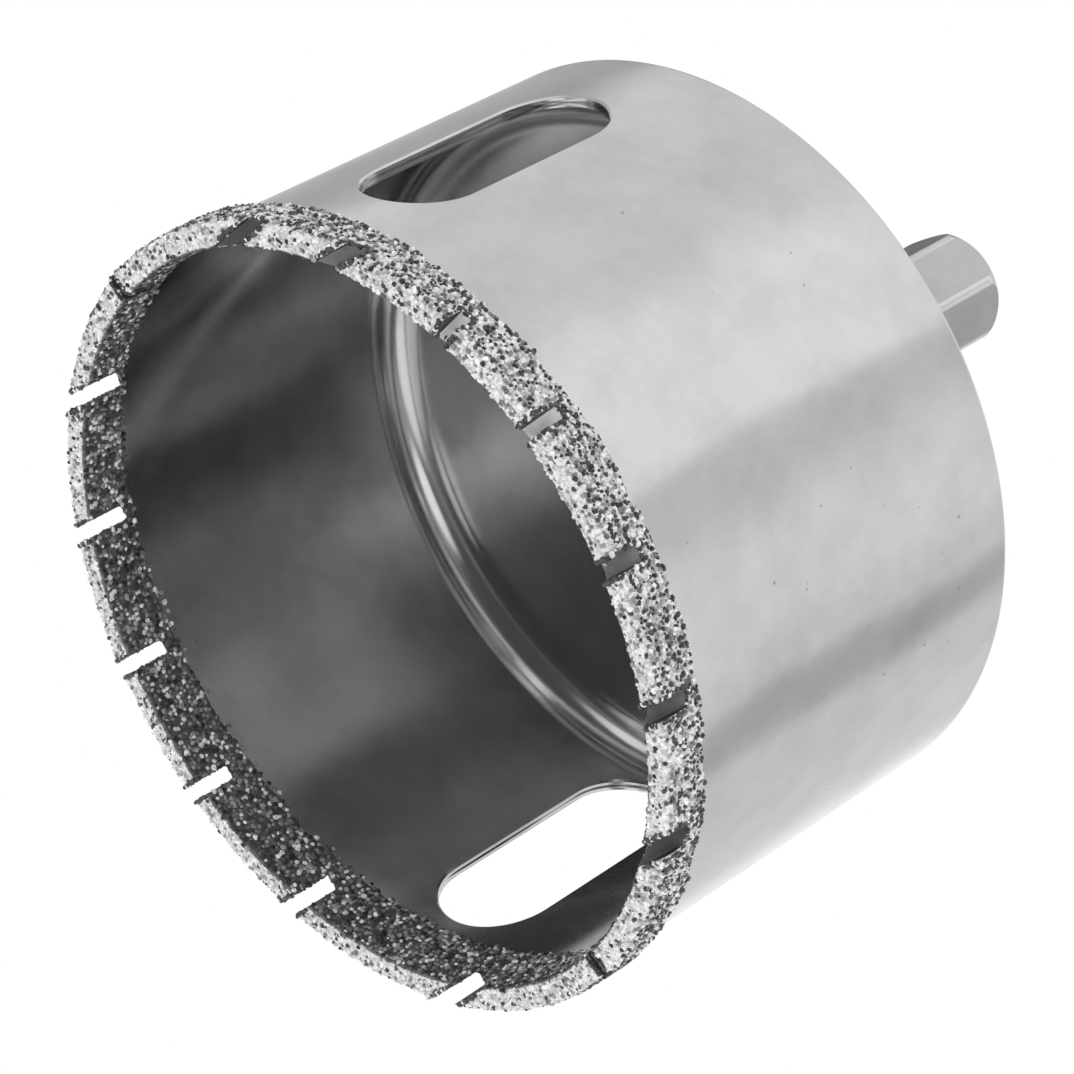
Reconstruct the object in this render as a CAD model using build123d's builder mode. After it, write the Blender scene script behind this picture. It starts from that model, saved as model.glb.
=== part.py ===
"""Diamond core bit: a windowed steel cup, a plated diamond crown on its rim and a hexagonal shank."""
import os
from math import atan, cos, radians, sin

from build123d import *

# Steel cup: the origin is the centre of the cutting plane and +Z runs toward the shank
cup_radius = 33.9
wall_thickness = 1.15
cup_height = 42.0
base_thickness = 5.0
base_inner_fillet = 3.2
base_outer_fillet = 0.5

# Diamond plating, bonded on the rim with no gap
plating_outside = 1.1
plating_inside = 0.27
plating_end = 0.55
band_height_outside = 4.7
band_height_inside = 5.5
plating_outer_round = 0.45
plating_clearance = 0.0

# Coolant notches in the rim, sawn slantwise through the wall: each is listed by its angle round the rim,
# the direction of its cut, its width, and how high it ends inside and outside
notches = [
    (-142.7, -193.0, 1.3, 3.9, 6.3),
    (-117.0, -117.0, 0.7, 3.4, 3.4),
    (-84.9, -21.0, 1.2, 0.7, 0.95),
    (-66.2, -15.1, 1.25, 0.7, 1.4),
    (-46.2, -35.3, 1.25, 0.7, 2.3),
    (-29.1, -26.0, 1.25, 0.7, 2.95),
    (-8.9, -16.7, 1.4, 0.7, 2.95),
    (11.2, -14.6, 1.5, 0.7, 3.25),
    (32.6, -16.8, 1.55, 0.7, 2.7),
    (59.0, 59.0, 0.7, 3.4, 3.4),
    (94.3, 158.0, 1.4, 1.7, 5.6),
    (127.8, 157.7, 1.45, 3.9, 5.8),
    (151.1, 160.1, 1.35, 3.5, 5.25),
    (172.4, 162.5, 1.35, 3.9, 5.6),
    (194.1, 164.9, 1.35, 4.0, 5.9),
]
notch_corner_round = 0.3
notch_reach = 6.5
notch_drop = 9.0

# Side windows: each is a round-ended slot, listed by angle, width, and the heights of its two ends
windows = [
    (-74.9, 10.6, 9.63, 33.8),
    (107.5, 10.86, 8.26, 34.47),
]

# Hexagonal shank with a turned spigot that is pressed through the base
shank_across_flats = 10.0
shank_length = 36.5
shank_corner_angle = 52.9
shank_edge_round = 0.8
shank_end_round = 2.4
spigot_radius = 4.0
spigot_fit = 0.02
spigot_setback = 0.2

# Cutters run this far past the faces they cut
cut_past = 2.0

# Sizes that follow from the ones above
plating_radius = cup_radius + plating_outside
cup_bore = cup_radius - wall_thickness
plating_bore = cup_bore - plating_inside
rim_height = plating_end
back_height = rim_height + cup_height
base_inner_height = back_height - base_thickness
cut_reach = plating_radius + cut_past
plating_span = plating_radius - plating_bore
plating_middle = (plating_radius + plating_bore) / 2
shank_corner_radius = (shank_across_flats / 2 - shank_edge_round) / cos(radians(30)) + shank_edge_round


def radial_plane(angle):
    """A plane on the axis whose normal points out at the angle and whose local Y is the bit's +Z."""
    turn = radians(angle)
    return Plane(origin=(0, 0, 0), x_dir=(-sin(turn), cos(turn), 0), z_dir=(cos(turn), sin(turn), 0))


def edges_at(part, height, radius):
    """The circular edges of a part at one height and one radius."""
    circles = part.edges().filter_by(GeomType.CIRCLE)
    level = circles.filter_by(lambda e: abs(e.center(CenterOf.BOUNDING_BOX).Z - height) < size_match)
    return level.filter_by(lambda e: abs(e.radius - radius) < size_match)


# Two sizes closer than this are the same edge
size_match = 0.001

os.makedirs("parts", exist_ok=True)

# One flat-ended cutter for each notch, open at the cutting plane
with BuildPart() as notch_cutters:
    for angle, heading, width, inside, outside in notches:
        turn = radians(angle)
        course = radians(heading)
        slope = atan((outside - inside) * cos(course - turn) / plating_span)
        end_middle = (plating_middle * cos(turn), plating_middle * sin(turn), (inside + outside) / 2)
        across = (-sin(course), cos(course), 0)
        along = (cos(course) * cos(slope), sin(course) * cos(slope), sin(slope))
        with BuildSketch(Plane(origin=end_middle, x_dir=across, z_dir=along)):
            Rectangle(width, notch_drop, align=(Align.CENTER, Align.MAX))
            fillet(vertices().sort_by(Axis.Y)[-2:], notch_corner_round)
        extrude(amount=notch_reach, both=True)

# Steel cup: turned shell with a thick flat base, then the notches, the windows and the shank's hole
with BuildPart() as cup:
    with BuildSketch(Plane.XY.offset(rim_height)):
        Circle(cup_radius)
    extrude(amount=cup_height)
    with BuildSketch(Plane.XY.offset(rim_height)):
        Circle(cup_bore)
    extrude(amount=cup_height - base_thickness, mode=Mode.SUBTRACT)
    fillet(edges_at(cup, base_inner_height, cup_bore), base_inner_fillet)
    fillet(edges_at(cup, back_height, cup_radius), base_outer_fillet)
    with BuildSketch(Plane.XY.offset(base_inner_height)):
        Circle(spigot_radius + spigot_fit)
    extrude(amount=base_thickness, mode=Mode.SUBTRACT)
    for angle, width, low, high in windows:
        with BuildSketch(radial_plane(angle)):
            with Locations((0, (low + high) / 2)):
                SlotOverall(high - low, width, rotation=90)
        extrude(amount=cut_reach, mode=Mode.SUBTRACT)
    add(notch_cutters.part, mode=Mode.SUBTRACT)

# Plating: a ring that wraps the rim's end and both of its sides, open at each notch
with BuildPart() as diamond_coating:
    with BuildSketch(Plane.XY):
        Circle(plating_radius)
        Circle(cup_radius + plating_clearance, mode=Mode.SUBTRACT)
    extrude(amount=band_height_outside)
    with BuildSketch(Plane.XY):
        Circle(cup_bore - plating_clearance)
        Circle(plating_bore, mode=Mode.SUBTRACT)
    extrude(amount=band_height_inside)
    with BuildSketch(Plane.XY):
        Circle(plating_radius)
        Circle(plating_bore, mode=Mode.SUBTRACT)
    extrude(amount=rim_height - plating_clearance)
    fillet(edges_at(diamond_coating, 0, plating_radius), plating_outer_round)
    add(notch_cutters.part, mode=Mode.SUBTRACT)

# Shank: hexagon with drawn edges, its end turned round, then a spigot through the base
with BuildPart() as shank:
    with BuildSketch(Plane.XY.offset(back_height)):
        RegularPolygon(shank_across_flats / 2, 6, major_radius=False, rotation=shank_corner_angle)
        fillet(vertices(), shank_edge_round)
    extrude(amount=shank_length)
    with BuildSketch(Plane.XZ):
        with Locations((0, back_height)):
            Rectangle(shank_corner_radius, shank_length, align=(Align.MIN, Align.MIN))
        corner = vertices().sort_by(Axis.X)[-2:].sort_by(Axis.Z)[-1]
        fillet(corner, shank_end_round)
    revolve(axis=Axis.Z, mode=Mode.INTERSECT)
    with BuildSketch(Plane.XY.offset(back_height)):
        Circle(spigot_radius)
    extrude(amount=spigot_setback - base_thickness)

cup.part.label = "cup"
diamond_coating.part.label = "diamond_coating"
shank.part.label = "shank"
export_step(cup.part, "parts/cup.step")
export_step(diamond_coating.part, "parts/diamond_coating.step")
export_step(shank.part, "parts/shank.step")
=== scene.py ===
"""Dresses the diamond core bit: plated steel, diamond grit, and the studio that it stands in."""
from collections import namedtuple
from math import atan, cos, degrees, pi, radians, sin

import bpy
import numpy as np
from mathutils import Matrix, Vector, noise as soft_noise


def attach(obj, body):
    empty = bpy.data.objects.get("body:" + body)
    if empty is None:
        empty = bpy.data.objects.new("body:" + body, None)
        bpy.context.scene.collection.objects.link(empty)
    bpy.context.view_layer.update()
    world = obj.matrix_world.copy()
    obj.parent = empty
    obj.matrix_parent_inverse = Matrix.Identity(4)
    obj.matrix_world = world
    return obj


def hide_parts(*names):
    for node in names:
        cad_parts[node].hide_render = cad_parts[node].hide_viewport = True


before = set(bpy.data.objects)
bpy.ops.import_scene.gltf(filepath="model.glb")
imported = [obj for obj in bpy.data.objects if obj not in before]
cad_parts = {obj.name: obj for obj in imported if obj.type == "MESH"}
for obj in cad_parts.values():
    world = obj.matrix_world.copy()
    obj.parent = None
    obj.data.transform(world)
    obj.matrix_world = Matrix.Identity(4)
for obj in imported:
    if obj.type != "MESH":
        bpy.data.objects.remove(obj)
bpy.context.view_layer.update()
scene = bpy.context.scene

# Camera: the photograph looks up into the cup's mouth, from below the rim and to one side
CAMERA_PLACE = (0.247555, -0.083765, -0.178243)
CAMERA_RIGHT = (0.65952, 0.29414, 0.69175)
CAMERA_DOWN = (0.0, 0.92026, -0.39131)
CAMERA_LENS = 131.41
CAMERA_SENSOR = 36.0
CAMERA_NEAR = 0.001

# Sizes are in millimetres, as in the CAD model, unless MM has turned them into metres
MM = 0.001

# Hexagonal shank and its turned spigot
SHANK_ACROSS_FLATS = 10.0
SHANK_LENGTH = 36.5
SHANK_CORNER_ANGLE = 52.9
SHANK_EDGE_ROUND = 0.8
SHANK_END_ROUND = 2.4
SHANK_STEPS = 360
SHANK_FIRST_LEVEL = 1.0
SHANK_LEVELS = 6
SHANK_END_POINTS = 25
SHANK_SHARP = 14
SPIGOT_RADIUS = 4.0
SPIGOT_FIT = 0.02
SPIGOT_SETBACK = 0.2

# Steel cup
CUP_RADIUS = 33.9
WALL_THICKNESS = 1.15
CUP_HEIGHT = 42.0
BASE_THICKNESS = 5.0
FOLD_RADIUS = 3.2
BACK_ROUND = 0.5
CUP_STEPS = 720
FOLD_POINTS = 25
BACK_POINTS = 7

# Heights and radii that follow from the ones above
RIM_HEIGHT = 0.55
CUP_BORE = CUP_RADIUS - WALL_THICKNESS
BACK_HEIGHT = RIM_HEIGHT + CUP_HEIGHT
BASE_HEIGHT = BACK_HEIGHT - BASE_THICKNESS
HOLE_RADIUS = SPIGOT_RADIUS + SPIGOT_FIT
SPIGOT_END = BASE_HEIGHT + SPIGOT_SETBACK
SHANK_TOP = BACK_HEIGHT + SHANK_LENGTH
SHANK_EDGE_CENTRE = (SHANK_ACROSS_FLATS / 2 - SHANK_EDGE_ROUND) / cos(radians(30))
SHANK_END_CENTRE = (SHANK_EDGE_CENTRE + SHANK_EDGE_ROUND - SHANK_END_ROUND, SHANK_TOP - SHANK_END_ROUND)
FOLD_CENTRE = (CUP_BORE - FOLD_RADIUS, BASE_HEIGHT - FOLD_RADIUS)
BACK_CENTRE = (CUP_RADIUS - BACK_ROUND, BACK_HEIGHT - BACK_ROUND)

# Side windows: angle, width, and the heights of the two ends
Window = namedtuple("Window", "angle width low high")
WINDOWS = [
    Window(-74.9, 10.6, 9.63, 33.8),
    Window(107.5, 10.86, 8.26, 34.47),
]
WINDOW_EDGE = 0.18
WINDOW_PAST = 1.0
WINDOW_POINTS = 41

# Notches: angle round the rim, direction of the cut, width, heights of the end inside and outside, and
# the end's tone, which is painted light and shade: it stands in for the lit or shaded interior seen at that
# notch
Notch = namedtuple("Notch", "angle heading width inside outside tone")
NOTCHES = [
    Notch(-142.7, -193.0, 1.3, 3.9, 6.3, 0.3),
    Notch(-117.0, -117.0, 0.7, 3.4, 3.4, 0.1),
    Notch(-84.9, -21.0, 1.2, 0.7, 0.95, 0.065),
    Notch(-66.2, -15.1, 1.25, 0.7, 1.4, 0.19),
    Notch(-46.2, -35.3, 1.25, 0.7, 2.3, 0.78),
    Notch(-29.1, -26.0, 1.25, 0.7, 2.95, 0.8),
    Notch(-8.9, -16.7, 1.4, 0.7, 2.95, 0.22),
    Notch(11.2, -14.6, 1.5, 0.7, 3.25, 0.14),
    Notch(32.6, -16.8, 1.55, 0.7, 2.7, 0.09),
    Notch(59.0, 59.0, 0.7, 3.4, 3.4, 0.1),
    Notch(94.3, 158.0, 1.4, 1.7, 5.6, 0.3),
    Notch(127.8, 157.7, 1.45, 3.9, 5.8, 0.3),
    Notch(151.1, 160.1, 1.35, 3.5, 5.25, 0.3),
    Notch(172.4, 162.5, 1.35, 3.9, 5.6, 0.3),
    Notch(194.1, 164.9, 1.35, 4.0, 5.9, 0.3),
]
NOTCH_CORNER = 0.3
NOTCH_CORNER_POINTS = 9
NOTCH_REACH = 6.5
NOTCH_DROP = 9.0

# Plating: the bond lies a little under the CAD surface, and the grit on it reaches up to that surface
PLATING_RADIUS = CUP_RADIUS + 1.1
PLATING_BORE = CUP_BORE - 0.27
PLATING_MIDDLE = (PLATING_RADIUS + PLATING_BORE) / 2
PLATING_SPAN = PLATING_RADIUS - PLATING_BORE
BOND_OUTSIDE = 34.7
BOND_INSIDE = 32.56
BOND_END = 0.24
BOND_CORNER = 0.45
BOND_INNER_CORNER = 0.22
BOND_CORNER_POINTS = 5
BOND_INNER_CORNER_POINTS = 4
BAND_OUTSIDE = 4.6
BAND_INSIDE = 5.1
BAND_INSIDE_SWING = 1.35
BAND_INSIDE_HIGH = 100.0
BAND_RAGGED = 0.3
BAND_RAGGED_SCALES = (9, 34)
BAND_RAGGED_SHARES = (1.0, 0.8)
BAND_OUTSIDE_SEEDS = (3.0, 10.0)
BAND_INSIDE_SEEDS = (11.0, 18.0)

# The bond's rear edge thins out: (radius, how far below the edge)
BAND_TAPER = ((CUP_RADIUS, 0.0), (CUP_RADIUS + 0.35, 0.04), (BOND_OUTSIDE - 0.12, 0.16))
BAND_FULL = 0.36
BAND_INSIDE_FULL = 0.2
BAND_INSIDE_POINTS = 20
BOND_STEPS = 1200
BOND_STEP = 0.2
BOND_BUMPS = 0.07
BOND_BUMP_SCALES = (2.1, 4.7)
BOND_BUMP_SHARES = (1.0, 0.6)
BOND_SHARP = 50
NOTCH_BUILDUP = 0.17
NOTCH_BUILDUP_REACH = 0.8

# Grit: spacings and sizes, and the room that it keeps from notches and edges
GRIT_SEED = 41
GRIT_OUTSIDE = 34.99
GRIT_END = 0.01
GRIT_INSIDE = 32.42
GRIT_JITTER = 0.36
GRIT_SPACING = 0.35
GRIT_SIZES = (0.13, 0.27)
GRIT_INSIDE_SIZES = (0.17, 0.32)
GRIT_EDGE_SPACING = 0.17
GRIT_EDGE_OFFSET = (0.1, 0.24)
GRIT_END_INSET = (0.15, 0.15)
GRIT_FRAME_INSET = (0.15, 0.2)
GRIT_NOTCH_GAP = 0.12
GRIT_SUNK = 0.35
GRIT_STRETCH = (0.8, 1.2)
GRIT_UNEVEN = 0.09

# Grit on one side of the wall: the bond's and the steel's radius, the strip's height and spacing, how far
# above the end it starts, and then, measured from the band's edge, where it stops being dense, where the
# last strays lie and how many, and where it leaves the bond for the steel
Side = namedtuple("Side", "bond steel height spacing start dense stray stray_share seated")
GRIT_OUTER_SIDE = Side(
    bond=BOND_OUTSIDE,
    steel=CUP_RADIUS + 0.1,
    height=BAND_OUTSIDE + 0.9,
    spacing=GRIT_SPACING,
    start=0.25,
    dense=-0.1,
    stray=0.4,
    stray_share=0.5,
    seated=-0.25,
)
GRIT_INNER_SIDE = Side(
    bond=BOND_INSIDE,
    steel=CUP_BORE - 0.02,
    height=BAND_INSIDE + BAND_INSIDE_SWING + 1.0,
    spacing=0.46,
    start=0.15,
    dense=-0.05,
    stray=0.5,
    stray_share=0.3,
    seated=-0.1,
)

# Shares of dark and bright grains outside, on the end face and inside, and of dark ones near the edges; the
# dark ones at the tip's inner edge and around the notches are painted shadow lines
GRIT_DARK_SHARES = (0.4, 0.1, 0.36)
GRIT_BRIGHT_SHARES = (0.34, 0.8, 0.2)
GRIT_BRIGHT_MOST = 0.8
GRIT_REAR_EDGE = 0.55
GRIT_REAR_DARK = 0.68
# Below this height inside, most grains are dark: a painted shadow line along the tip's inner edge
GRIT_TIP_SHADOW_EDGE = 0.62
GRIT_TIP_SHADOW_SHARE = 0.85
# Grains framing the notches are mostly dark: a painted shadow outline round each notch
GRIT_FRAME_SHADOW_SHARE = 0.85

# Studio: brightness by direction, as azimuth, elevation, inner and outer half-angle in degrees, and level
STUDIO_PLAIN = 1.0
STUDIO_TOP = 1.0
STUDIO_LOW = 0.2
STUDIO_FADE = (-31.0, -22.0)
STUDIO_PATCHES = [
    (-172, -35, 12, 80, 0.48),
    (142, -34, 20, 46, 1.0),
    (-62, -58, 22, 38, 0.08),
    (-4, -37, 5, 13, 0.4),
    (35, -43, 6, 18, 0.45),
    (7, -50, 9, 15, 1.35),
    (68, -58, 11, 18, 1.15),
    (-110, -48, 8, 13, 1.15),
    (-158, -19, 5, 11, 1.8),
    (-35, 38, 10, 40, 1.1),
    (6, 41, 11, 16, 0.76),
    (30, 40, 4, 22, 0.98),
    (98, 40, 14, 32, 0.85),
    (-95, 40, 12, 34, 0.87),
    (67, 40, 4, 24, 0.84),
    (67, 40, 1, 9, 0.54),
    (-165, 48, 10, 30, 0.5),
    (-178, 48, 4, 8, 0.08),
]
FLOOR_REACH = 1.2
FLOOR_COLOUR = 0.92

# Steel: tones near the axis and farther out, which on the shank are its flats and its rounded edges, and
# what changes inside the cup, where the darker tone is painted shade
STEEL_TONES = (0.6, 0.6)
STEEL_ROUGHNESS = 0.13
# The shank's rounded edges are lighter than its flats: a painted highlight along the edges
SHANK_FLAT_AND_EDGE_HIGHLIGHT_TONES = (0.46, 0.62)
SHANK_EDGE_HIGHLIGHT_SPAN = (5.5 * MM, 5.57 * MM)
SHANK_ROUGHNESS = 0.22
INSIDE_RIPPLE = 0.12
INSIDE_PAINTED_SHADE = 0.92
INSIDE_ROUGHER = 0.03
WALL_EDGES = ((CUP_BORE + 0.3) * MM, (CUP_RADIUS - 0.3) * MM)
STEEL_STAINS = (1.04, 0.92)
STEEL_WEAR = (-0.02, 0.03)
RIPPLE_DEPTH = 0.35 * MM
PEEL_DEPTH = 0.004 * MM
SPECK_SCALE = 250.0
SPECK_SIZES = (0.03, 0.055)
SPECK_TONE = 0.66

# Bond, notches and grit: tones, what stains and mottling do to them, and the depth of their grain
# The bond is far darker on the inside of the rim than outside: painted shade
BOND_TONES_PAINTED_SHADE_INSIDE = (0.16, 0.82)
BOND_PAINTED_SHADE_EDGES = (32.68 * MM, 32.8 * MM)
BOND_PATCHES = (0.45, 1.1)
BOND_END_EDGES = (0.3 * MM, 0.5 * MM)
BOND_END_LIGHTER = 1.3
BOND_DEPTH = 0.12 * MM
# The notches' flanks are nearly black: painted shade on their side walls
FLANK_PAINTED_SHADE = 0.06
NOTCH_STAINS = (0.88, 1.12)
NOTCH_DEPTH = 0.02 * MM
GRIT_DARK_TONES = (0.015, 0.09)
GRIT_MIDDLE_TONES = (0.14, 0.42)
GRIT_BRIGHT_TONES = (0.7, 0.98)
GRIT_MOTTLE = (0.75, 1.15)
GRIT_DEPTH = 0.03 * MM

# Two sizes closer than this are the same, for edges and for faces that a cutter left
SAME_EDGE = 0.0001
SAME_FACE = 0.02

# How much a face points away from the axis: more than this on the walls, and less on what is cut in them
WALL_FACING = 0.98
CUT_FACING = 0.6
WINDOW_FACING = 0.05

# The sides of the wall that grit sits on
OUTSIDE, END_FACE, INSIDE = range(3)


def new_material(name):
    """An empty node material: (material, node tree, principled shader)."""
    material = bpy.data.materials.new(name)
    material.use_nodes = True
    tree = material.node_tree
    tree.nodes.clear()
    output = tree.nodes.new("ShaderNodeOutputMaterial")
    shader = tree.nodes.new("ShaderNodeBsdfPrincipled")
    tree.links.new(shader.outputs["BSDF"], output.inputs["Surface"])
    return material, tree, shader


def add_node(tree, kind, values=(), **settings):
    """A node with its settings, and its inputs' values by name or number."""
    made = tree.nodes.new(kind)
    for key, value in settings.items():
        setattr(made, key, value)
    for key, value in dict(values).items():
        made.inputs[key].default_value = value
    return made


def object_place(tree):
    """Places in the object's own metres."""
    return add_node(tree, "ShaderNodeTexCoord").outputs["Object"]


def noise(tree, scale, detail=2.0, roughness=0.5):
    """Noise over the object."""
    made = add_node(tree, "ShaderNodeTexNoise", {"Scale": scale, "Detail": detail, "Roughness": roughness})
    tree.links.new(object_place(tree), made.inputs["Vector"])
    return made.outputs["Fac"]


def remap(tree, source, span, result, smooth=True):
    """The source's values over a span, turned into those of the result."""
    made = add_node(tree, "ShaderNodeMapRange", interpolation_type="SMOOTHSTEP" if smooth else "LINEAR")
    tree.links.new(source, made.inputs["Value"])
    made.inputs["From Min"].default_value, made.inputs["From Max"].default_value = span
    made.inputs["To Min"].default_value, made.inputs["To Max"].default_value = result
    return made.outputs["Result"]


def math_node(tree, operation, a, b):
    """One calculation with two sockets or numbers."""
    made = add_node(tree, "ShaderNodeMath", operation=operation)
    for number, value in enumerate((a, b)):
        if isinstance(value, (int, float)):
            made.inputs[number].default_value = value
        else:
            tree.links.new(value, made.inputs[number])
    return made.outputs[0]


def bump(tree, height, distance, below=None):
    """A bump of that depth in metres, on top of another one."""
    made = add_node(tree, "ShaderNodeBump", {"Distance": distance, "Strength": 1.0})
    tree.links.new(height, made.inputs["Height"])
    if below is not None:
        tree.links.new(below, made.inputs["Normal"])
    return made.outputs["Normal"]


def coordinates(tree):
    """The place's X, Y and Z, as sockets."""
    split = add_node(tree, "ShaderNodeSeparateXYZ")
    tree.links.new(object_place(tree), split.inputs["Vector"])
    return split.outputs["X"], split.outputs["Y"], split.outputs["Z"]


def radius_of(tree):
    """Distance from the part's axis, in metres."""
    x, y = coordinates(tree)[:2]
    east = math_node(tree, "POWER", x, 2.0)
    north = math_node(tree, "POWER", y, 2.0)
    return math_node(tree, "SQRT", math_node(tree, "ADD", east, north), 0.0)


def specks(tree):
    """A few small dark specks, as a factor on the tone."""
    cells = add_node(tree, "ShaderNodeTexVoronoi", {"Scale": SPECK_SCALE})
    tree.links.new(object_place(tree), cells.inputs["Vector"])
    return remap(tree, cells.outputs["Distance"], SPECK_SIZES, (SPECK_TONE, 1.0))


def steel_material(name, tones, roughness, inside_rougher, inside_painted_shade):
    """Bright nickel-plated steel with faint ripples, orange peel, stains and specks, darker inside the cup
    as painted shade.
    """
    material, tree, shader = new_material(name)
    shader.inputs["Metallic"].default_value = 1.0
    radius = radius_of(tree)
    # Farther from the axis the tone changes; on the shank the lighter rounded edges are a painted highlight
    tone = remap(tree, radius, SHANK_EDGE_HIGHLIGHT_SPAN, tones)
    # Darker inside the bore: painted shade on the inner wall, fold and base
    tone = math_node(tree, "MULTIPLY", tone, remap(tree, radius, WALL_EDGES, (inside_painted_shade, 1.0)))
    stains = remap(tree, noise(tree, scale=130.0, detail=5.0, roughness=0.65), (0.35, 0.7), STEEL_STAINS)
    tone = math_node(tree, "MULTIPLY", tone, stains)
    tree.links.new(math_node(tree, "MULTIPLY", tone, specks(tree)), shader.inputs["Base Color"])
    wear = [roughness + step for step in STEEL_WEAR]
    rough = remap(tree, noise(tree, scale=220.0, detail=5.0, roughness=0.6), (0.3, 0.7), wear)
    rougher = remap(tree, radius, WALL_EDGES, (inside_rougher, 0.0))
    tree.links.new(math_node(tree, "ADD", rough, rougher), shader.inputs["Roughness"])
    calm = remap(tree, radius, WALL_EDGES, (INSIDE_RIPPLE, 1.0))
    waves = math_node(tree, "MULTIPLY", noise(tree, scale=55.0, detail=1.0), calm)
    ripple = bump(tree, waves, RIPPLE_DEPTH)
    peel = bump(tree, noise(tree, scale=700.0, detail=1.0), PEEL_DEPTH, below=ripple)
    tree.links.new(peel, shader.inputs["Normal"])
    return material


def coating_material(name):
    """Matt nickel bond, mottled: pale outside and on the end face, and dark on the inside, which is painted
    shade.
    """
    material, tree, shader = new_material(name)
    shader.inputs["Metallic"].default_value = 0.3
    shader.inputs["Roughness"].default_value = 0.4
    # Dark inside the rim: painted shade
    tone = remap(tree, radius_of(tree), BOND_PAINTED_SHADE_EDGES, BOND_TONES_PAINTED_SHADE_INSIDE)
    patches = remap(tree, noise(tree, scale=2100.0, detail=2.0, roughness=0.6), (0.36, 0.66), BOND_PATCHES)
    height = coordinates(tree)[2]
    end_face = remap(tree, height, BOND_END_EDGES, (BOND_END_LIGHTER, 1.0))
    mottled = math_node(tree, "MULTIPLY", tone, patches)
    level = math_node(tree, "MINIMUM", math_node(tree, "MULTIPLY", mottled, end_face), 1.0)
    tree.links.new(level, shader.inputs["Base Color"])
    grain = noise(tree, scale=3200.0, detail=2.0, roughness=0.6)
    tree.links.new(bump(tree, grain, BOND_DEPTH), shader.inputs["Normal"])
    return material


def notch_material(name, tone, by_notch):
    """Dull nickel in the notches: of one tone, times each notch's own painted light and shade if asked."""
    material, tree, shader = new_material(name)
    shader.inputs["Metallic"].default_value = 0.2
    shader.inputs["Roughness"].default_value = 0.45
    stains = noise(tree, scale=900.0, detail=4.0, roughness=0.6)
    level = remap(tree, stains, (0.35, 0.65), [stain * tone for stain in NOTCH_STAINS])
    if by_notch:
        own = add_node(tree, "ShaderNodeAttribute", attribute_name="notch_painted_light_and_shade").outputs["Fac"]
        level = math_node(tree, "MULTIPLY", level, own)
    tree.links.new(level, shader.inputs["Base Color"])
    tree.links.new(bump(tree, noise(tree, scale=1500.0), NOTCH_DEPTH), shader.inputs["Normal"])
    return material


def grit_material(name, tones, roughness):
    """Blocky grains, each of its own tone between two levels."""
    material, tree, shader = new_material(name)
    shader.inputs["Roughness"].default_value = roughness
    grain = add_node(tree, "ShaderNodeNewGeometry").outputs["Random Per Island"]
    tone = remap(tree, grain, (0.0, 1.0), tones, smooth=False)
    mottle = remap(tree, noise(tree, scale=2600.0, roughness=0.6), (0.35, 0.65), GRIT_MOTTLE)
    tree.links.new(math_node(tree, "MULTIPLY", tone, mottle), shader.inputs["Base Color"])
    tree.links.new(bump(tree, noise(tree, scale=5200.0), GRIT_DEPTH), shader.inputs["Normal"])
    return material


def new_piece(name, points, faces, materials):
    """A mesh object from points in millimetres."""
    mesh = bpy.data.meshes.new(name)
    mesh.from_pydata([tuple(p) for p in np.asarray(points) * MM], [], [tuple(f) for f in faces])
    for material in materials:
        mesh.materials.append(material)
    mesh.validate()
    mesh.update()
    piece = bpy.data.objects.new(name, mesh)
    scene.collection.objects.link(piece)
    return piece


def shade_smooth(piece, sharp):
    """Smooth shading, apart from edges that turn by more than this many degrees."""
    mesh = piece.data
    mesh.polygons.foreach_set("use_smooth", np.ones(len(mesh.polygons), dtype=bool))
    mesh.set_sharp_from_angle(angle=radians(sharp))
    mesh.update()


def lathe(sections):
    """Points and faces of a closed profile that may change as it turns: sections[step] lists (r, z)."""
    steps = len(sections)
    turns = np.arange(steps) * 2 * pi / steps
    rows = np.asarray(sections)
    count = rows.shape[1]
    x = rows[:, :, 0] * np.cos(turns)[:, None]
    y = rows[:, :, 0] * np.sin(turns)[:, None]
    points = np.stack([x, y, rows[:, :, 1]], axis=2).reshape(-1, 3)
    step, place = np.meshgrid(np.arange(steps), np.arange(count), indexing="ij")
    here = (step * count + place).ravel()
    along = (step * count + (place + 1) % count).ravel()
    turned = ((step + 1) % steps * count + place).ravel()
    both = ((step + 1) % steps * count + (place + 1) % count).ravel()
    return points, np.stack([here, along, both, turned], axis=1)


def arc(centre, radius, start, end, count):
    """Points (r, z) on an arc, by angles in degrees."""
    angles = np.radians(np.linspace(start, end, count))
    return [(centre[0] + radius * cos(a), centre[1] + radius * sin(a)) for a in angles]


def radial_frame(angle):
    """The outward and the sideways direction at an angle."""
    turn = radians(angle)
    return np.array([cos(turn), sin(turn), 0.0]), np.array([-sin(turn), cos(turn), 0.0])


def prism(rings):
    """Points and faces of a closed solid through rings of points, with a flat cap at each end."""
    count = len(rings[0])
    points = np.concatenate(rings)
    faces = []
    for ring in range(len(rings) - 1):
        for place in range(count):
            after = (place + 1) % count
            low, high = ring * count, (ring + 1) * count
            faces.append((low + place, low + after, high + after, high + place))
    faces.append(tuple(range(count - 1, -1, -1)))
    faces.append(tuple(range((len(rings) - 1) * count, len(rings) * count)))
    return points, faces


def notch_axes(notch):
    """Where a notch's end lies at mid-wall, and its directions: sideways, up and along the cut."""
    course = radians(notch.heading)
    slope = atan((notch.outside - notch.inside) * cos(course - radians(notch.angle)) / PLATING_SPAN)
    height = np.array([0, 0, (notch.inside + notch.outside) / 2])
    end = radial_frame(notch.angle)[0] * PLATING_MIDDLE + height
    side = np.array([-sin(course), cos(course), 0.0])
    up = np.array([-cos(course) * sin(slope), -sin(course) * sin(slope), cos(slope)])
    along = np.array([cos(course) * cos(slope), sin(course) * cos(slope), sin(slope)])
    return end, side, up, along


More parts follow.
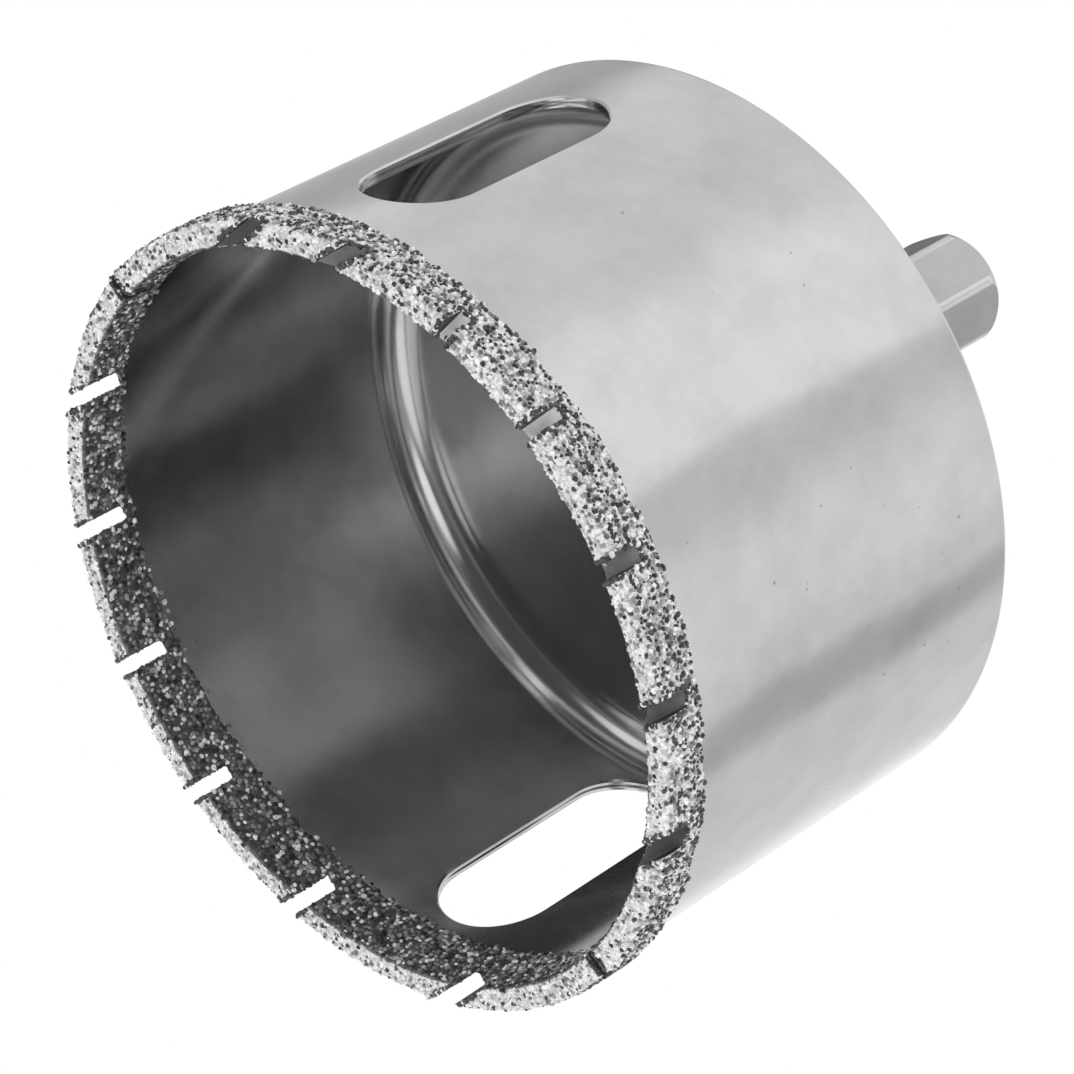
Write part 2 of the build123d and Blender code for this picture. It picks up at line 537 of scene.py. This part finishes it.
def notch_outline(width):
    """The notch seen along its cut, as (sideways, up) from its end: flat end with round corners."""
    half = width / 2
    inset = half - NOTCH_CORNER
    right = arc((inset, -NOTCH_CORNER), NOTCH_CORNER, 0, 90, NOTCH_CORNER_POINTS)
    left = arc((-inset, -NOTCH_CORNER), NOTCH_CORNER, 90, 180, NOTCH_CORNER_POINTS)
    return [(half, -NOTCH_DROP)] + right + left + [(-half, -NOTCH_DROP)]


def window_outline(window, grown):
    """A round-ended window seen along its radius, grown by a margin."""
    half = window.width / 2
    top = arc((0.0, window.high - half), half + grown, 0, 180, WINDOW_POINTS)
    bottom = arc((0.0, window.low + half), half + grown, 180, 360, WINDOW_POINTS)
    return top + bottom


def notch_cutters():
    """One closed prism for each notch: a list of (points, faces)."""
    made = []
    for notch in NOTCHES:
        end, side, up, along = notch_axes(notch)
        outline = np.array([end + side * t + up * y for t, y in notch_outline(notch.width)])
        made.append(prism([outline - along * NOTCH_REACH, outline + along * NOTCH_REACH]))
    return made


def window_cutters():
    """One solid for each window, flared at the wall's two faces so that its edges are broken."""
    made = []
    levels = [
        (CUP_BORE - WINDOW_PAST, WINDOW_EDGE + WINDOW_PAST),
        (CUP_BORE + WINDOW_EDGE, 0.0),
        (CUP_RADIUS - WINDOW_EDGE, 0.0),
        (CUP_RADIUS + WINDOW_PAST, WINDOW_EDGE + WINDOW_PAST),
    ]
    for window in WINDOWS:
        outward, sideways = radial_frame(window.angle)
        rings = []
        for radius, grown in levels:
            ring = [
                outward * (radius ** 2 - t ** 2) ** 0.5 + sideways * t + np.array([0, 0, z])
                for t, z in window_outline(window, grown)
            ]
            rings.append(np.array(ring))
        made.append(prism(rings))
    return made


def cut(piece, solids):
    """Cuts the solids out of the piece and keeps the result as plain mesh."""
    points = []
    faces = []
    for solid_points, solid_faces in solids:
        start = len(points)
        points.extend(solid_points)
        faces.extend(tuple(i + start for i in face) for face in solid_faces)
    cutter = new_piece("cutter", points, faces, [])
    tool = piece.modifiers.new("cut", "BOOLEAN")
    tool.operation = "DIFFERENCE"
    tool.solver = "MANIFOLD"
    tool.object = cutter
    bpy.context.view_layer.update()
    shape = bpy.data.meshes.new_from_object(piece.evaluated_get(bpy.context.evaluated_depsgraph_get()))
    shape.name = piece.name
    piece.modifiers.clear()
    piece.data = shape
    bpy.data.objects.remove(cutter)


def face_vectors(mesh, name):
    """One vector for each face: its normal or its centre."""
    values = np.zeros(len(mesh.polygons) * 3)
    mesh.polygons.foreach_get(name, values)
    return values.reshape(-1, 3)


def shade_exactly(piece, rules):
    """Gives each corner the normal that rules(points, face normals, face centres) works out for it."""
    mesh = piece.data
    vertex = np.zeros(len(mesh.loops), dtype=np.int32)
    mesh.loops.foreach_get("vertex_index", vertex)
    sizes = np.zeros(len(mesh.polygons), dtype=np.int32)
    mesh.polygons.foreach_get("loop_total", sizes)
    points = np.zeros(len(mesh.vertices) * 3)
    mesh.vertices.foreach_get("co", points)
    points = points.reshape(-1, 3)[vertex] / MM
    flat = np.repeat(face_vectors(mesh, "normal"), sizes, axis=0)
    centre = np.repeat(face_vectors(mesh, "center"), sizes, axis=0) / MM
    normals = rules(points, flat, centre)
    mesh.polygons.foreach_set("use_smooth", np.ones(len(mesh.polygons), dtype=bool))
    mesh.normals_split_custom_set(normals.tolist())
    mesh.update()


def cup_normals(points, flat, centre):
    """The cup's true normals: walls, inner fold, back edge and the windows' round ends."""
    normals = flat.copy()
    radius = np.hypot(points[:, 0], points[:, 1])
    outward = np.zeros_like(points)
    outward[:, :2] = points[:, :2] / radius[:, None]
    facing = np.sum(flat * outward, axis=1)
    wall = facing > WALL_FACING
    normals[wall] = outward[wall]
    bore = facing < -WALL_FACING
    normals[bore] = -outward[bore]
    near_radius = np.hypot(centre[:, 0], centre[:, 1])
    for (tube_r, tube_z), size, sign in ((FOLD_CENTRE, FOLD_RADIUS, -1), (BACK_CENTRE, BACK_ROUND, 1)):
        on_arc = (near_radius > tube_r) & (near_radius < tube_r + size - SAME_EDGE)
        on_arc &= (centre[:, 2] > tube_z) & (centre[:, 2] < tube_z + size - SAME_EDGE)
        round_normal = outward * (radius - tube_r)[:, None]
        round_normal[:, 2] = points[:, 2] - tube_z
        round_normal *= sign / np.maximum(np.linalg.norm(round_normal, axis=1), 1e-9)[:, None]
        normals[on_arc] = round_normal[on_arc]
    for window in WINDOWS:
        out, side = radial_frame(window.angle)
        half = window.width / 2
        inward = -side[None, :] * (points @ side)[:, None]
        inward[:, 2] = np.clip(points[:, 2], window.low + half, window.high - half) - points[:, 2]
        reach = np.linalg.norm(inward, axis=1)
        cut_face = (np.abs(reach - half) < SAME_FACE) & (points @ out > 0)
        cut_face &= (np.abs(flat @ out) < WINDOW_FACING) & (np.abs(facing) < CUT_FACING)
        normals[cut_face] = inward[cut_face] / reach[cut_face][:, None]
    return normals


def notch_places(points):
    """For each point: distance to the nearest notch's walls, which notch, and if its end is nearest."""
    nearest = np.full(len(points), np.inf)
    which = np.zeros(len(points), dtype=np.int32)
    on_end = np.zeros(len(points), dtype=bool)
    for number, notch in enumerate(NOTCHES):
        end, side, up, along = notch_axes(notch)
        offset = points - end
        sideways = np.abs(offset @ side) - (notch.width / 2 - NOTCH_CORNER)
        upward = offset @ up + NOTCH_CORNER
        away = np.hypot(np.maximum(sideways, 0.0), np.maximum(upward, 0.0)) - NOTCH_CORNER
        away += np.minimum(np.maximum(sideways, upward), 0.0)
        closer = (np.abs(offset @ along) < NOTCH_REACH) & (away < nearest)
        nearest[closer] = away[closer]
        which[closer] = number
        on_end[closer] = (upward > sideways)[closer]
    return nearest, which, on_end


def notch_buildup(points):
    """How much thicker the plating is for standing close to a notch, in millimetres."""
    away = np.maximum(notch_places(points)[0], 0.0)
    return NOTCH_BUILDUP * np.exp(-(away / NOTCH_BUILDUP_REACH) ** 2)


def paint_notches(piece):
    """Gives the notches' ends and flanks their own materials, and each end its own tone of painted light and
    shade.
    """
    mesh = piece.data
    distance, which, on_end = notch_places(face_vectors(mesh, "center") / MM)
    material = np.where(np.abs(distance) < SAME_FACE, np.where(on_end, 1, 2), 0)
    mesh.polygons.foreach_set("material_index", material.astype(np.int32))
    # Each notch end's tone is painted light and shade, not a colour of the metal
    tones = mesh.attributes.new("notch_painted_light_and_shade", "FLOAT", "FACE")
    tones.data.foreach_set("value", np.array([notch.tone for notch in NOTCHES])[which])


def build_cup(steel, notch_end, shaded_notch_flank):
    """The one-piece steel shell, turned as fine as its mirror finish needs."""
    profile = [(HOLE_RADIUS, BASE_HEIGHT)]
    profile += arc(FOLD_CENTRE, FOLD_RADIUS, 90, 0, FOLD_POINTS)
    profile += [(CUP_BORE, RIM_HEIGHT), (CUP_RADIUS, RIM_HEIGHT)]
    profile += arc(BACK_CENTRE, BACK_ROUND, 0, 90, BACK_POINTS)
    profile += [(HOLE_RADIUS, BACK_HEIGHT)]
    points, faces = lathe([profile[::-1]] * CUP_STEPS)
    piece = new_piece("cup_shell", points, faces, [steel, notch_end, shaded_notch_flank])
    cut(piece, notch_cutters() + window_cutters())
    paint_notches(piece)
    shade_exactly(piece, cup_normals)
    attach(piece, "root")
    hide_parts("cup")


def ragged(angle, seeds):
    """A smooth random swing around the rim, at two scales."""
    swing = 0.0
    for scale, share, seed in zip(BAND_RAGGED_SCALES, BAND_RAGGED_SHARES, seeds):
        swing += share * soft_noise.noise(Vector((scale * cos(angle), scale * sin(angle), seed)))
    return BAND_RAGGED * swing


def band_edges(angle):
    """Where the plating ends on the wall's outside and inside, at an angle in radians."""
    swing = BAND_INSIDE_SWING * cos(angle - radians(BAND_INSIDE_HIGH))
    outer = BAND_OUTSIDE + ragged(angle, BAND_OUTSIDE_SEEDS)
    inner = BAND_INSIDE + swing + ragged(angle, BAND_INSIDE_SEEDS)
    return outer, inner


def bond_section(angle):
    """The plating's outline at one angle, as (r, z): outside, tip, inside, then back along the steel."""
    outer, inner = band_edges(angle)
    outer_corner = (BOND_OUTSIDE - BOND_CORNER, BOND_END + BOND_CORNER)
    inner_corner = (BOND_INSIDE + BOND_INNER_CORNER, BOND_END + BOND_INNER_CORNER)
    rise = int((BAND_OUTSIDE - BOND_CORNER) / BOND_STEP)
    across = int((BOND_OUTSIDE - BOND_INSIDE - BOND_CORNER - BOND_INNER_CORNER) / BOND_STEP)
    section = [(r, outer - below) for r, below in BAND_TAPER]
    section += [(BOND_OUTSIDE, z) for z in np.linspace(outer - BAND_FULL, outer_corner[1], rise)]
    section += arc(outer_corner, BOND_CORNER, -15, -90, BOND_CORNER_POINTS)
    end_face = np.linspace(outer_corner[0] - BOND_STEP, inner_corner[0] + BOND_STEP, across)
    section += [(r, BOND_END) for r in end_face]
    section += arc(inner_corner, BOND_INNER_CORNER, -90, -180, BOND_INNER_CORNER_POINTS)
    bore = np.linspace(inner_corner[1] + BOND_STEP, inner - BAND_INSIDE_FULL, BAND_INSIDE_POINTS)
    section += [(BOND_INSIDE, z) for z in bore]
    section += [(CUP_BORE, inner), (CUP_BORE, RIM_HEIGHT), (CUP_RADIUS, RIM_HEIGHT)]
    return section


def bumps(point):
    """Soft lumps at two scales."""
    scales = zip(BOND_BUMP_SCALES, BOND_BUMP_SHARES)
    return sum(share * soft_noise.noise(Vector(point) * scale) for scale, share in scales)


def build_bond(bond, notch_end, shaded_notch_flank):
    """The nickel that holds the grit: bumpy, thicker beside each notch, and cut smooth in the notches."""
    turns = np.arange(BOND_STEPS) * 2 * pi / BOND_STEPS
    sections = np.asarray([bond_section(a) for a in turns])
    points, faces = lathe(sections)
    along = np.roll(sections, -1, axis=1) - np.roll(sections, 1, axis=1)
    along /= np.maximum(np.linalg.norm(along, axis=2), 1e-9)[:, :, None]
    out_r = along[:, :, 1].ravel() * -1
    out_z = along[:, :, 0].ravel()
    shown = np.ones(sections.shape[:2])
    shown[:, [0, -3, -2, -1]] = 0.0
    lumps = BOND_BUMPS * np.array([bumps(p) for p in points])
    lift = shown.ravel() * (lumps + notch_buildup(points) * (out_r > 0.5))
    turned = np.repeat(turns, sections.shape[1])
    points[:, 0] += lift * out_r * np.cos(turned)
    points[:, 1] += lift * out_r * np.sin(turned)
    points[:, 2] += lift * out_z
    piece = new_piece("coating_bond", points, faces, [bond, notch_end, shaded_notch_flank])
    cut(piece, notch_cutters())
    paint_notches(piece)
    shade_smooth(piece, BOND_SHARP)
    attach(piece, "root")
    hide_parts("diamond_coating")


def scattered(rng, length, height, spacing):
    """Points spread over a strip, evenly but at random: (along, up)."""
    columns = int(length / spacing)
    rows = max(int(height / spacing), 1)
    along, up = np.meshgrid(np.arange(columns), np.arange(rows), indexing="ij")
    along = along.ravel() + 0.5 * (up.ravel() % 2) + rng.uniform(-GRIT_JITTER, GRIT_JITTER, columns * rows)
    up = up.ravel() + 0.5 + rng.uniform(-GRIT_JITTER, GRIT_JITTER, columns * rows)
    return along / columns * length, up / rows * height


def around(radius, angle, z):
    """Points on a circle of that radius, or of a radius each."""
    return np.stack([radius * np.cos(angle), radius * np.sin(angle), z], axis=1)


def side_grit(rng, side, edge_table):
    """Grains on one side of the wall: (places, directions outward, heights past the band's edge)."""
    along, up = scattered(rng, 2 * pi * side.bond, side.height, side.spacing)
    angle = along / side.bond
    z = up + BOND_END + side.start
    past = z - np.interp(np.degrees(angle), np.arange(len(edge_table)), edge_table)
    kept = (past < side.dense) | ((past < side.stray) & (rng.random(len(z)) < side.stray_share))
    radius = np.where(past < side.seated, side.bond, side.steel)
    place = around(radius, angle, z)
    outward = around(1.0, angle, np.zeros_like(angle))
    return place[kept], outward[kept], past[kept]


def end_grit(rng):
    """Grains on the end face: their places."""
    middle = (BOND_OUTSIDE + BOND_INSIDE) / 2
    height = BOND_OUTSIDE - BOND_INSIDE - sum(GRIT_END_INSET)
    along, up = scattered(rng, 2 * pi * middle, height, GRIT_SPACING)
    return around(up + BOND_INSIDE + GRIT_END_INSET[0], along / middle, np.full(len(up), BOND_END))


def grit_places(rng):
    """Where grains sit: places, normals, sides and shares of dark ones. Sides: outside, end face, inside."""
    outer_edge, inner_edge = np.array([band_edges(radians(a)) for a in range(361)]).T
    dark_outside, dark_end, dark_inside = GRIT_DARK_SHARES
    outer, outer_normal, past = side_grit(rng, GRIT_OUTER_SIDE, outer_edge)
    end = end_grit(rng)
    inner, inner_outward, _ = side_grit(rng, GRIT_INNER_SIDE, inner_edge)
    place = np.concatenate([outer, end, inner])
    normal = np.concatenate([outer_normal, np.tile([0.0, 0.0, -1.0], (len(end), 1)), -inner_outward])
    zone = np.repeat([OUTSIDE, END_FACE, INSIDE], [len(outer), len(end), len(inner)])
    share = np.concatenate([
        np.where(past > -GRIT_REAR_EDGE, GRIT_REAR_DARK, dark_outside),
        np.full(len(end), dark_end),
        # Mostly dark grains at the tip's inner edge: a painted shadow line
        np.where(inner[:, 2] < GRIT_TIP_SHADOW_EDGE, GRIT_TIP_SHADOW_SHARE, dark_inside),
    ])
    clear = notch_places(place)[0] > GRIT_NOTCH_GAP
    return place[clear], normal[clear], zone[clear], share[clear]


def meets_plating(start, along):
    """Where a line through a notch leaves the bond's outer face, if it does."""
    a = along[0] ** 2 + along[1] ** 2
    b = start[0] * along[0] + start[1] * along[1]
    c = start[0] ** 2 + start[1] ** 2 - BOND_OUTSIDE ** 2
    inside = b * b - a * c
    if inside < 0:
        return None
    return start + along * (-b + np.sign(b) * inside ** 0.5) / a


def notch_grit(rng):
    """The closer rows of grains that frame each notch, on the outside and across the end face."""
    places = []
    normals = []

    def frame_outside(line, along):
        point = meets_plating(line, along)
        if point is not None and point[2] > BOND_END:
            places.append(point)
            normals.append(np.array([point[0], point[1], 0.0]) / BOND_OUTSIDE)

    for notch in NOTCHES:
        end, side, up, along = notch_axes(notch)
        half = notch.width / 2
        out = radial_frame(notch.angle)[0]
        for hand in (-1, 1):
            for step in np.arange(0.1, NOTCH_DROP, GRIT_EDGE_SPACING):
                t = hand * (half + rng.uniform(*GRIT_EDGE_OFFSET))
                frame_outside(end + side * t - up * step * up[2], along)
        for t in np.arange(-half, half, GRIT_EDGE_SPACING):
            frame_outside(end + side * t + up * rng.uniform(*GRIT_EDGE_OFFSET) * up[2], along)
        course = np.array([along[0], along[1], 0.0]) / np.hypot(along[0], along[1])
        crossing = PLATING_SPAN / abs(course @ out)
        for hand in (-1, 1):
            for step in np.arange(-crossing / 2, crossing / 2, GRIT_EDGE_SPACING):
                t = hand * (half + rng.uniform(*GRIT_EDGE_OFFSET))
                point = out * PLATING_MIDDLE + side * t + course * step
                point[2] = BOND_END
                margins = (BOND_INSIDE + GRIT_FRAME_INSET[0], BOND_OUTSIDE - GRIT_FRAME_INSET[1])
                if margins[0] < np.hypot(point[0], point[1]) < margins[1]:
                    places.append(point)
                    normals.append(np.array([0.0, 0.0, -1.0]))
    return np.array(places), np.array(normals)


def turns_at_random(rng, count):
    """Random rotation matrices."""
    q = rng.normal(size=(count, 4))
    w, x, y, z = (q / np.linalg.norm(q, axis=1)[:, None]).T
    return np.array([
        [1 - 2 * (y * y + z * z), 2 * (x * y - z * w), 2 * (x * z + y * w)],
        [2 * (x * y + z * w), 1 - 2 * (x * x + z * z), 2 * (y * z - x * w)],
        [2 * (x * z - y * w), 2 * (y * z + x * w), 1 - 2 * (x * x + y * y)],
    ]).transpose(2, 0, 1)


def crystal_shape():
    """A blocky crystal: a cube with its corners cut back to the middle of each edge."""
    points = []
    for axis in range(3):
        for a in (-1, 1):
            for b in (-1, 1):
                point = [0, 0, 0]
                point[(axis + 1) % 3] = a
                point[(axis + 2) % 3] = b
                points.append(point)
    points = np.array(points, dtype=float)
    squares = [np.array(axis) * sign for axis in ((1, 0, 0), (0, 1, 0), (0, 0, 1)) for sign in (-1, 1)]
    triangles = [np.array([x, y, z]) for x in (-1, 1) for y in (-1, 1) for z in (-1, 1)]
    loops = []
    for normal in squares + triangles:
        height = points @ normal
        members = np.flatnonzero(height > height.max() - 1e-6)
        arms = points[members] - points[members].mean(axis=0)
        across = np.cross(normal, arms[0])
        spin = np.arctan2(arms @ across, arms @ arms[0] * np.linalg.norm(normal))
        loops.append(members[np.argsort(spin)])
    return points / 2 ** 0.5, loops


def grit_piece(name, rng, place, normal, size, material):
    """One mesh of many crystals, each turned at random and sunk into the bond."""
    shape, loops = crystal_shape()
    count = len(place)
    sunk = rng.uniform(0.0, GRIT_SUNK, count) * size
    scale = size[:, None] * rng.uniform(*GRIT_STRETCH, (count, 3))
    points = shape[None, :, :] * scale[:, None, :]
    points = points + rng.normal(0, GRIT_UNEVEN, points.shape) * size[:, None, None]
    points = np.einsum("nij,nvj->nvi", turns_at_random(rng, count), points)
    points = points + (place - normal * sunk[:, None])[:, None, :]
    points = points.reshape(-1, 3)
    radius = np.hypot(points[:, 0], points[:, 1])
    points[:, :2] *= (np.clip(radius, GRIT_INSIDE, GRIT_OUTSIDE) / radius)[:, None]
    points[:, 2] = np.maximum(points[:, 2], GRIT_END)
    faces = []
    for start in range(0, count * len(shape), len(shape)):
        faces.extend([tuple(loop + start) for loop in loops])
    piece = new_piece(name, points, faces, [material])
    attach(piece, "root")
    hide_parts("diamond_coating")


def build_grit(dark, middle, bright):
    """All the grains, in three tones."""
    rng = np.random.default_rng(GRIT_SEED)
    place, normal, zone, dark_share = grit_places(rng)
    frame_place, frame_normal = notch_grit(rng)
    place = np.concatenate([place, frame_place])
    normal = np.concatenate([normal, frame_normal])
    zone = np.concatenate([zone, np.full(len(frame_place), OUTSIDE)])
    # Frame grains mostly dark: painted shadow outline round each notch
    dark_share = np.concatenate([dark_share, np.full(len(frame_place), GRIT_FRAME_SHADOW_SHARE)])
    place = place + normal * (notch_buildup(place) * (zone == OUTSIDE))[:, None]
    inside = zone == INSIDE
    size = rng.uniform(*GRIT_SIZES, len(place))
    size[inside] = rng.uniform(*GRIT_INSIDE_SIZES, inside.sum())
    pick = rng.random(len(place))
    bright_share = np.minimum(np.choose(zone, GRIT_BRIGHT_SHARES), (1 - dark_share) * GRIT_BRIGHT_MOST)
    tone = np.where(pick < dark_share, 0, np.where(pick > 1 - bright_share, 2, 1))
    pieces = (("grit_dark", dark), ("grit_middle", middle), ("grit_bright", bright))
    for number, (name, material) in enumerate(pieces):
        kept = tone == number
        grit_piece(name, rng, place[kept], normal[kept], size[kept], material)


def hexagon_radius(angle):
    """The shank's radius at an angle in degrees from one of its corners, its edges rounded."""
    from_corner = radians((angle + 30) % 60 - 30)
    from_middle = radians(30) - abs(from_corner)
    on_flat = SHANK_ACROSS_FLATS / 2 / cos(from_middle)
    if on_flat * sin(from_middle) < SHANK_EDGE_CENTRE * sin(radians(30)):
        return on_flat
    aside = SHANK_EDGE_CENTRE * sin(from_corner)
    return SHANK_EDGE_CENTRE * cos(from_corner) + (SHANK_EDGE_ROUND ** 2 - aside ** 2) ** 0.5


def shank_section(reach):
    """The shank's profile where its side lies at this radius, from its end down to the spigot's."""
    first = np.arccos(min((reach - SHANK_END_CENTRE[0]) / SHANK_END_ROUND, 1.0))
    turned = arc(SHANK_END_CENTRE, SHANK_END_ROUND, degrees(first), 90, SHANK_END_POINTS)
    section = [(SPIGOT_RADIUS, SPIGOT_END), (SPIGOT_RADIUS, BACK_HEIGHT), (reach, BACK_HEIGHT)]
    section += [(reach, z) for z in np.linspace(BACK_HEIGHT + SHANK_FIRST_LEVEL, turned[0][1], SHANK_LEVELS)]
    return (section + turned[1:])[::-1]


def build_shank(material):
    """The hexagonal shank with its end turned round, as fine as its outline needs."""
    angles = np.arange(SHANK_STEPS) * 360 / SHANK_STEPS
    sections = [shank_section(hexagon_radius(angle - SHANK_CORNER_ANGLE)) for angle in angles]
    points, faces = lathe(sections)
    count = len(sections[0])
    top = tuple(range(0, len(points), count))
    bottom = tuple(range(len(points) - 1, 0, -count))
    sides = [face for face in faces if face[0] % count != count - 1]
    piece = new_piece("shank_turned", points, sides + [top, bottom], [material])
    shade_smooth(piece, SHANK_SHARP)
    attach(piece, "root")
    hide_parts("shank")


def direction(azimuth, elevation):
    """A unit vector from its two angles in degrees."""
    a = radians(azimuth)
    e = radians(elevation)
    return (cos(e) * cos(a), cos(e) * sin(a), sin(e))


def studio_level(tree):
    """How bright the studio is in each direction: darker low down, with soft bright and dim areas."""
    place = add_node(tree, "ShaderNodeTexCoord").outputs["Generated"]
    split = add_node(tree, "ShaderNodeSeparateXYZ")
    tree.links.new(place, split.inputs["Vector"])
    fade = [sin(radians(e)) for e in STUDIO_FADE]
    level = remap(tree, split.outputs["Z"], fade, (STUDIO_LOW, STUDIO_TOP))
    for azimuth, elevation, inner, outer, value in STUDIO_PATCHES:
        facing = add_node(tree, "ShaderNodeVectorMath", operation="DOT_PRODUCT")
        tree.links.new(place, facing.inputs[0])
        facing.inputs[1].default_value = direction(azimuth, elevation)
        share = remap(tree, facing.outputs["Value"], (cos(radians(outer)), cos(radians(inner))), (0.0, 1.0))
        blend = add_node(tree, "ShaderNodeMix", data_type="FLOAT")
        tree.links.new(share, blend.inputs["Factor"])
        tree.links.new(level, blend.inputs["A"])
        blend.inputs["B"].default_value = value
        level = blend.outputs["Result"]
    return level


def either(tree, chooser, otherwise, chosen):
    """One shader or another, by a socket that is 0 or 1."""
    mix = add_node(tree, "ShaderNodeMixShader")
    tree.links.new(chooser, mix.inputs["Fac"])
    tree.links.new(otherwise, mix.inputs[1])
    tree.links.new(chosen, mix.inputs[2])
    return mix.outputs["Shader"]


def build_world():
    """White to the camera, a plain light on the object, and the studio in what its metal mirrors."""
    world = bpy.data.worlds.new("studio")
    scene.world = world
    world.use_nodes = True
    tree = world.node_tree
    tree.nodes.clear()
    white = (1, 1, 1, 1)
    seen = add_node(tree, "ShaderNodeBackground", {"Color": white, "Strength": 1.0})
    plain = add_node(tree, "ShaderNodeBackground", {"Color": white, "Strength": STUDIO_PLAIN})
    studio = add_node(tree, "ShaderNodeBackground", {"Color": white})
    tree.links.new(studio_level(tree), studio.inputs["Strength"])
    path = add_node(tree, "ShaderNodeLightPath")
    glossy = path.outputs["Is Glossy Ray"]
    light = either(tree, glossy, plain.outputs["Background"], studio.outputs["Background"])
    shown = either(tree, path.outputs["Is Camera Ray"], light, seen.outputs["Background"])
    output = add_node(tree, "ShaderNodeOutputWorld")
    tree.links.new(shown, output.inputs["Surface"])


def build_floor():
    """A pale floor under the rim, shown only from above, so it never hides the view up at the part."""
    mesh = bpy.data.meshes.new("floor")
    corners = [(x * FLOOR_REACH, y * FLOOR_REACH, 0) for x, y in ((-1, -1), (1, -1), (1, 1), (-1, 1))]
    mesh.from_pydata(corners, [], [(0, 1, 2, 3)])
    floor = bpy.data.objects.new("floor", mesh)
    scene.collection.objects.link(floor)
    material = bpy.data.materials.new("floor_paint")
    material.use_nodes = True
    tree = material.node_tree
    tree.nodes.clear()
    paint = add_node(tree, "ShaderNodeBsdfDiffuse", {"Color": (FLOOR_COLOUR, FLOOR_COLOUR, FLOOR_COLOUR, 1)})
    clear = add_node(tree, "ShaderNodeBsdfTransparent")
    path = add_node(tree, "ShaderNodeLightPath")
    side = add_node(tree, "ShaderNodeNewGeometry")
    front = math_node(tree, "SUBTRACT", 1.0, side.outputs["Backfacing"])
    shown = math_node(tree, "MULTIPLY", path.outputs["Is Camera Ray"], front)
    output = add_node(tree, "ShaderNodeOutputMaterial")
    surface = either(tree, shown, clear.outputs["BSDF"], paint.outputs["BSDF"])
    tree.links.new(surface, output.inputs["Surface"])
    mesh.materials.append(material)


def build_camera():
    """The camera at the photograph's viewing angle."""
    data = bpy.data.cameras.new("camera")
    data.sensor_width = CAMERA_SENSOR
    data.lens = CAMERA_LENS
    data.clip_start = CAMERA_NEAR
    camera = bpy.data.objects.new("camera", data)
    scene.collection.objects.link(camera)
    right = Vector(CAMERA_RIGHT).normalized()
    up = -Vector(CAMERA_DOWN).normalized()
    turn = Matrix((right, up, right.cross(up))).transposed().to_4x4()
    camera.matrix_world = Matrix.Translation(CAMERA_PLACE) @ turn
    scene.camera = camera


scene.view_settings.view_transform = "Standard"
build_camera()
build_world()
build_floor()

cup_steel = steel_material("nickel_plated_steel", STEEL_TONES, STEEL_ROUGHNESS, INSIDE_ROUGHER, INSIDE_PAINTED_SHADE)
shank_steel = steel_material("shank_steel", SHANK_FLAT_AND_EDGE_HIGHLIGHT_TONES, SHANK_ROUGHNESS, 0.0, 1.0)
notch_end = notch_material("notch_end", 1.0, by_notch=True)
# Painted shade on the notches' side walls
shaded_notch_flank = notch_material("shaded_notch_flank", FLANK_PAINTED_SHADE, by_notch=False)
grit_bond = coating_material("grit_bond")
dark_grit = grit_material("grit_dark", GRIT_DARK_TONES, 0.4)
middle_grit = grit_material("grit_middle", GRIT_MIDDLE_TONES, 0.4)
bright_grit = grit_material("grit_bright", GRIT_BRIGHT_TONES, 0.35)

build_cup(cup_steel, notch_end, shaded_notch_flank)
build_bond(grit_bond, notch_end, shaded_notch_flank)
build_grit(dark_grit, middle_grit, bright_grit)
build_shank(shank_steel)
